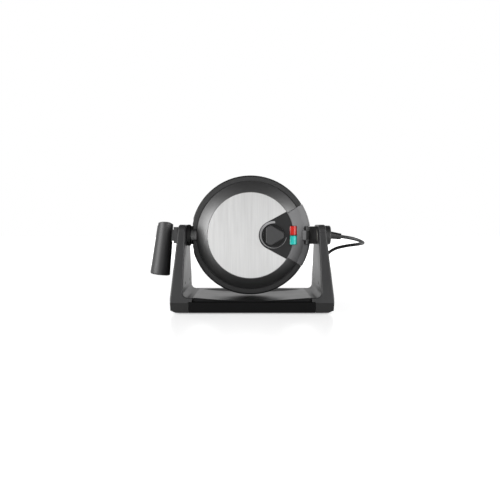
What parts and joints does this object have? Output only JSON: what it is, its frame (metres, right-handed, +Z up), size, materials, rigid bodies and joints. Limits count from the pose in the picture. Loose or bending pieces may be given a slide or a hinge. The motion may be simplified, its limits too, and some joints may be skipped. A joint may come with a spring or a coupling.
{
  "type": "rotating waffle maker",
  "caption": "Round flip-over waffle iron with hinged lid, browning knob and folding side handle, turning between the uprights of a stand with a drip tray.",
  "frame": {"origin": "floor under the middle of the appliance's outline, cord left out", "axes": "+Z up, lid faces -Y at rest, turning axis along X, folding handle towards -X"},
  "size_m": [0.4241, 0.3137, 0.255],
  "materials": {
    "black_plastic": "satin black moulded plastic",
    "panel_plastic": "smooth black plastic",
    "tray_plastic": "glossy black plastic",
    "steel": "brushed stainless steel",
    "plate": "cast aluminium with a dark non-stick coat",
    "heater": "steel heater tube",
    "hardware": "plain steel",
    "bush": "plain bearing plastic",
    "red_lens": "red lamp lens",
    "green_lens": "green lamp lens",
    "board": "circuit board",
    "ceramic": "pale insulating body",
    "feet": "soft black rubber",
    "cord": "black cord sheath",
    "pins": "bright contact pins"
  },
  "bodies": {
    "stand": {"left_upright_shell": "black_plastic", "right_upright_shell": "black_plastic", "left_upright_cover": "black_plastic", "right_upright_cover": "black_plastic", "left_bush": "bush", "right_bush": "bush", "cover_screws": "hardware", "left_base_plate": "black_plastic", "right_base_plate": "black_plastic", "base_screws": "hardware", "rubber_feet": "feet", "base_crossbar": "black_plastic", "drip_tray": "tray_plastic", "cord_cap": "black_plastic", "strain_relief": "cord", "cord": "cord", "cord_coil": "cord", "cord_tail": "cord", "plug_body": "cord", "plug_pins": "pins"},
    "head": {"rear_housing": "black_plastic", "rear_steel_cover": "steel", "rear_waffle_plate": "plate", "rear_plate_screws": "hardware", "rear_heating_element": "heater", "left_trunnion": "black_plastic", "trunnion_cross_pin": "hardware", "handle_knuckle": "black_plastic", "hinge_block": "black_plastic", "hinge_pin": "hardware", "retaining_clip": "hardware"},
    "lock_ring": {"lock_ring": "black_plastic"},
    "lid": {"lid_housing": "black_plastic", "lid_boss": "black_plastic", "control_housing": "black_plastic", "lid_steel_cover": "steel", "control_panel": "panel_plastic", "lid_waffle_plate": "plate", "lid_plate_screws": "hardware", "lid_heating_element": "heater", "red_lens": "red_lens", "green_lens": "green_lens", "lamp_board": "board", "thermostat": "ceramic"},
    "knob": {"knob": "black_plastic", "knob_shaft": "hardware"},
    "handle": {"handle_front_shell": "black_plastic", "handle_back_shell": "black_plastic", "handle_pin": "hardware", "handle_screws": "hardware"}
  },
  "joints": [
    {"name": "head_flip", "type": "hinge", "parent": "stand", "child": "head", "pos_m": [0.02045, 0, 0.1405], "axis": [-1, 0, 0], "range_deg": [-90, 90]},
    {"name": "lid_open", "type": "hinge", "parent": "head", "child": "lid", "pos_m": [0.12995, -0.016, 0.1405], "axis": [0, 0, 1], "range_deg": [0, 90]},
    {"name": "lock_slide", "type": "slide", "parent": "head", "child": "lock_ring", "axis": [1, 0, 0], "range_m": [0, 0.0056]},
    {"name": "handle_fold", "type": "hinge", "parent": "head", "child": "handle", "pos_m": [-0.14655, 0, 0.1405], "axis": [0, 1, 0], "range_deg": [0, 83.1]},
    {"name": "knob_turn", "type": "hinge", "parent": "lid", "child": "knob", "pos_m": [0.06365, -0.03, 0.1405], "axis": [0, -1, 0], "range_deg": [0, 270]}
  ]
}
